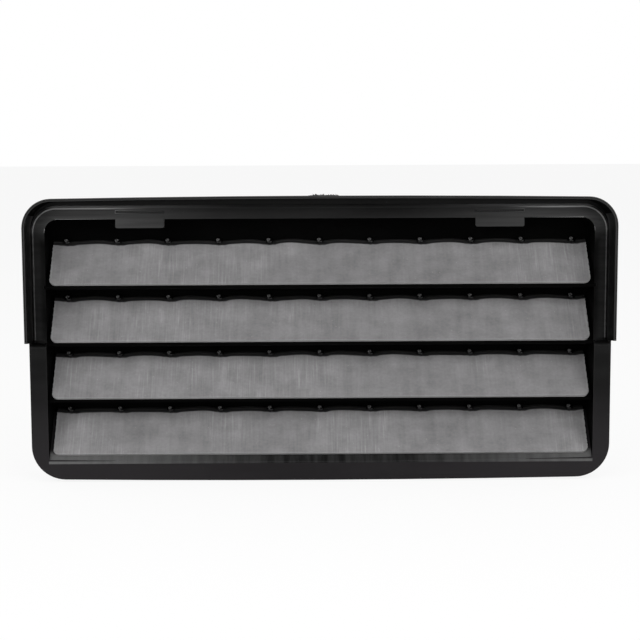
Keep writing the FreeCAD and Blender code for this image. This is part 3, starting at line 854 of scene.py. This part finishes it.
def flapSheet(number, name):
    random = np.random.default_rng(40 + number)
    columns, rows = flapColumns(), flapRows()
    x, down = np.meshgrid(columns, rows, indexing="ij")
    # The lower corners are quarter circles: near the sides the lip pulls up by the circle's rise.
    inset = sheetHalf - np.abs(x)
    radius = flap["cornerRadius"]
    rise = radius - np.sqrt(np.clip(radius ** 2 - np.clip(radius - inset, 0, radius) ** 2, 0, None))
    low = flap["length"] - rise
    down = np.where(down > flap["length"] - 3 * radius,
                    (down - flap["length"] + 3 * radius) * (low - flap["length"] + 3 * radius) / (3 * radius)
                    + flap["length"] - 3 * radius, down)
    x, down = roundHoles(x, down)
    wave = bulges(x, random)
    fade = np.exp(-(np.clip(down, 0, None) / flap["bulgeFade"]) ** 2)
    ripple = flap["lipRipple"] * np.sin(x * 61 + number * 1.7) * np.sin(x * 23 + number)
    lip = ripple * np.clip(down / flap["length"], 0, 1) ** 2
    bulge = wave * fade + np.clip(lip, 0, None)
    # Above the roll's start the middle line follows an arc back over the ridge, then runs straight.
    past = np.clip(flap["rollStart"] - down, 0, None)
    turned = np.clip(past / flap["rollRadius"], 0, flap["rollTurn"])
    straight = past - turned * flap["rollRadius"]
    along = flap["rollRadius"] * np.sin(turned) + straight * np.cos(turned)
    fall = flap["rollRadius"] * (1 - np.cos(turned)) + straight * np.sin(turned)
    middleDown = np.where(down < flap["rollStart"], flap["rollStart"] - along, down)
    middleOut = flap["lift"] + flap["thickness"] / 2 - fall + bulge
    half = flap["thickness"] / 2
    top = onSeat(x, middleDown - half * np.sin(turned), middleOut + half * np.cos(turned), ridges[name])
    under = onSeat(x, middleDown + half * np.sin(turned), middleOut - half * np.cos(turned), ridges[name])
    count = x.size
    index = np.arange(count).reshape(x.shape)
    kept = keptCells(columns, rows)
    quads = np.stack([index[:-1, :-1], index[:-1, 1:], index[1:, 1:], index[1:, :-1]], axis=-1)[kept]
    faces = np.concatenate([quads[:, ::-1], quads + count, flapWalls(kept, index, count)])
    points = np.concatenate([top.reshape(-1, 3), under.reshape(-1, 3)])
    piece = addMesh(name + "_sheet", points, faces.tolist(), sharpAngle=50)
    toSide = sheetHalf - np.abs(x)
    toRim = np.minimum(toSide, low - down)
    rim = np.clip(1 - toRim / flap["rimWidth"], 0, 1) * (down > flap["rimStart"])
    edge = flap["darkMarginDepth"] + darkMarginEdge(x, random)
    darkMargin = np.clip(0.5 + (edge - down) / flap["darkMarginSoft"], 0, 1)
    # A painted highlight along the crest, where the margin rolls back.
    crestHighlight = np.clip(1 - np.abs(down + flap["crestAt"]) / flap["cell"], 0, 1)
    for label, values in (("rim", rim), ("darkMargin", darkMargin), ("crestHighlight", crestHighlight)):
        layer = piece.data.attributes.new(label, "FLOAT", "POINT")
        layer.data.foreach_set("value", np.tile(values.ravel(), 2).astype(np.float32))
    # Each flap takes its own part of the pattern.
    u, v = x / flap["uvSize"] + flap["uvShift"] * number, down / flap["uvSize"]
    sheetUv = np.stack([u, v], axis=-1).reshape(-1, 2)
    loops = np.zeros(len(piece.data.loops), np.int32)
    piece.data.loops.foreach_get("vertex_index", loops)
    layer = piece.data.uv_layers.new(name="sheet")
    layer.data.foreach_set("uv", sheetUv[loops % count].ravel().astype(np.float32))
    return piece


def keptCells(columns, rows):
    # Every cell but those inside the holes.
    midX = (columns[1:] + columns[:-1]) / 2
    midDown = (rows[1:] + rows[:-1]) / 2
    nearX = np.min(np.abs(midX[:, None] - pinPlaces), axis=1) < flap["holeHalf"]
    return ~(nearX[:, None] & (np.abs(midDown) < flap["holeHalf"])[None, :])


def flapWalls(kept, index, count):
    # Where a kept cell meets no cell, across or down, a quad joins the top to the underside.
    cells = np.pad(kept, 1)
    walls = []
    for axis in (0, 1):
        a, b = (cells[:-1, 1:-1], cells[1:, 1:-1]) if axis == 0 else (cells[1:-1, :-1], cells[1:-1, 1:])
        one = index[:, :-1] if axis == 0 else index[:-1, :]
        two = index[:, 1:] if axis == 0 else index[1:, :]
        for mask, first, second in ((a & ~b, one, two), (b & ~a, two, one)):
            p, q = (first[mask], second[mask]) if axis == 0 else (second[mask], first[mask])
            walls.append(np.stack([p, q, q + count, p + count], axis=-1))
    return np.concatenate(walls)


def darkMarginEdge(x, random):
    # The dark margin's lower edge wavers, and dips at each pin and beside it, more on its right: painted
    # shade under and beside the pin heads, where the sheet is pressed down.
    side = x - pinPlaces[np.argmin(np.abs(x[..., None] - pinPlaces), axis=-1)]
    dipRight = flap["dipRight"] * np.exp(-((side - flap["dipAside"]) / flap["dipRightWide"]) ** 2)
    dipLeft = flap["dipLeft"] * np.exp(-((side + flap["dipAside"]) / flap["dipLeftWide"]) ** 2)
    atPin = flap["dipAtPin"] * np.exp(-(side / flap["dipPinWide"]) ** 2)
    slow = np.sin(x * 190 + random.uniform(0, 6)) * np.sin(x * 47 + random.uniform(0, 6))
    return dipRight + dipLeft + atPin + flap["waver"] * slow


for number, name in enumerate(flapNames):
    sheet = flapSheet(number, name)
    sheet.data.materials.append(rubber)
    rounded = sheet.modifiers.new("rim", "BEVEL")
    rounded.width = flap["rimEase"]
    rounded.segments = 2
    rounded.limit_method = "ANGLE"
    rounded.angle_limit = math.radians(50)
    rounded.use_clamp_overlap = False
    bendFrom = onSeat(0.0, flap["bendStart"], flap["bendOut"], ridges[name])
    bendTo = onSeat(0.0, flap["bendEnd"], flap["bendOut"], ridges[name])
    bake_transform(sheet)
    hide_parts(name)
print("flaps ready")


# Seal: the foam ring behind the flange.
def finishSeal():
    piece = copyNode("foamSeal", "perimeter_seal")
    piece.data.materials.append(foam)
    piece.data.shade_smooth()
    piece.data.set_sharp_from_angle(angle=math.radians(35))
    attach(piece, "housing")
    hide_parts("perimeter_seal")


finishSeal()
print("seal ready")


# Studio: pale floor, white background, soft light from above and in front.
studio = {
    "floorDrop": 0.4 * mm,
    "floorSize": 6.0,
    "floorColor": 0.90,
    "floorRough": 0.9,
    "shadowShare": 0.12,
    "worldGrey": 0.45,
    "boxPower": 10.6,
    "boxPlace": (0.66, -1.15, 0.50),
    "boxSize": (0.95, 0.85),
    "topPower": 2.0,
    "topPlace": (0.48, -0.15, 1.25),
    "topSize": (0.65, 0.5),
}


def makeFloor():
    size = studio["floorSize"]
    z = cadLow.z - studio["floorDrop"]
    corners = [(-size, -size, z), (size, -size, z), (size, size, z), (-size, size, z)]
    floor = addMesh("studioFloor", corners, [[0, 1, 2, 3]])
    material, tree, shader = startMaterial("paleFloor")
    shader.inputs["Base Color"].default_value = grey(studio["floorColor"])
    shader.inputs["Roughness"].default_value = studio["floorRough"]
    white = put(tree, "ShaderNodeEmission", {"Color": grey(1), "Strength": 1.0})
    path = put(tree, "ShaderNodeLightPath")
    seen = calc(tree, "MULTIPLY", path.outputs["Is Camera Ray"], 1 - studio["shadowShare"])
    both = put(tree, "ShaderNodeMixShader", {0: seen, 1: shader.outputs[0], 2: white.outputs[0]})
    tree.links.new(both.outputs[0], tree.nodes["Material Output"].inputs["Surface"])
    floor.data.materials.append(material)


def makeWorld():
    world = bpy.data.worlds.new("studioWorld")
    world.use_nodes = True
    tree = world.node_tree
    tree.nodes.clear()
    room = put(tree, "ShaderNodeBackground", {"Color": grey(studio["worldGrey"]), "Strength": 1.0})
    white = put(tree, "ShaderNodeBackground", {"Color": grey(1), "Strength": 1.0})
    path = put(tree, "ShaderNodeLightPath")
    # The white backdrop stands behind the object: gloss shows it there, and the dimmer room in front.
    way = put(tree, "ShaderNodeSeparateXYZ", {0: put(tree, "ShaderNodeTexCoord").outputs["Generated"]})
    behind = ramp(tree, way.outputs["Y"], -0.05, 0.35)
    gloss = calc(tree, "ADD", path.outputs["Is Glossy Ray"], path.outputs["Is Transmission Ray"])
    seen = calc(tree, "MULTIPLY_ADD", gloss, behind, path.outputs["Is Camera Ray"], clamp=True)
    both = put(tree, "ShaderNodeMixShader", {0: seen, 1: room.outputs[0], 2: white.outputs[0]})
    final = put(tree, "ShaderNodeOutputWorld")
    tree.links.new(both.outputs[0], final.inputs["Surface"])
    bpy.context.scene.world = world


def areaLight(name, place, size, power):
    data = bpy.data.lights.new(name, "AREA")
    data.shape = "RECTANGLE"
    data.size, data.size_y = size
    data.energy = power
    lamp = bpy.data.objects.new(name, data)
    lamp.location = place
    lamp.rotation_mode = "QUATERNION"
    lamp.rotation_quaternion = (-Vector(place)).to_track_quat("-Z", "Y")
    bpy.context.scene.collection.objects.link(lamp)


view = {
    "distance": 0.880,
    "elevation": 7.38,
    "azimuth": -0.5,
    "roll": -0.24,
    "focalPixels": 1691.0,
    "pictureSize": 640,
    "originAt": (320.4, 337.6),
}


def makeCamera():
    data = bpy.data.cameras.new("photoCamera")
    data.sensor_width = 36.0
    data.lens = view["focalPixels"] * data.sensor_width / view["pictureSize"]
    middle = view["pictureSize"] / 2
    data.shift_x = (middle - view["originAt"][0]) / view["pictureSize"]
    data.shift_y = (view["originAt"][1] - middle) / view["pictureSize"]
    data.clip_start, data.clip_end = 0.01, 50
    camera = bpy.data.objects.new("photoCamera", data)
    a, e = math.radians(view["azimuth"]), math.radians(view["elevation"])
    back = Vector((math.sin(a) * math.cos(e), -math.cos(a) * math.cos(e), math.sin(e)))
    camera.location = back * view["distance"]
    camera.rotation_mode = "QUATERNION"
    aim = (-back).to_track_quat("-Z", "Y")
    camera.rotation_quaternion = aim @ Matrix.Rotation(math.radians(view["roll"]), 3, "Z").to_quaternion()
    bpy.context.scene.collection.objects.link(camera)
    bpy.context.scene.camera = camera


makeFloor()
makeWorld()
for side, name in ((-1, "leftSoftbox"), (1, "rightSoftbox")):
    x, y, z = studio["boxPlace"]
    areaLight(name, (side * x, y, z), studio["boxSize"], studio["boxPower"])
    x, y, z = studio["topPlace"]
    areaLight(name.replace("Soft", "Top"), (side * x, y, z), studio["topSize"], studio["topPower"])
makeCamera()
bpy.context.scene.view_settings.view_transform = "Standard"
print("studio ready")
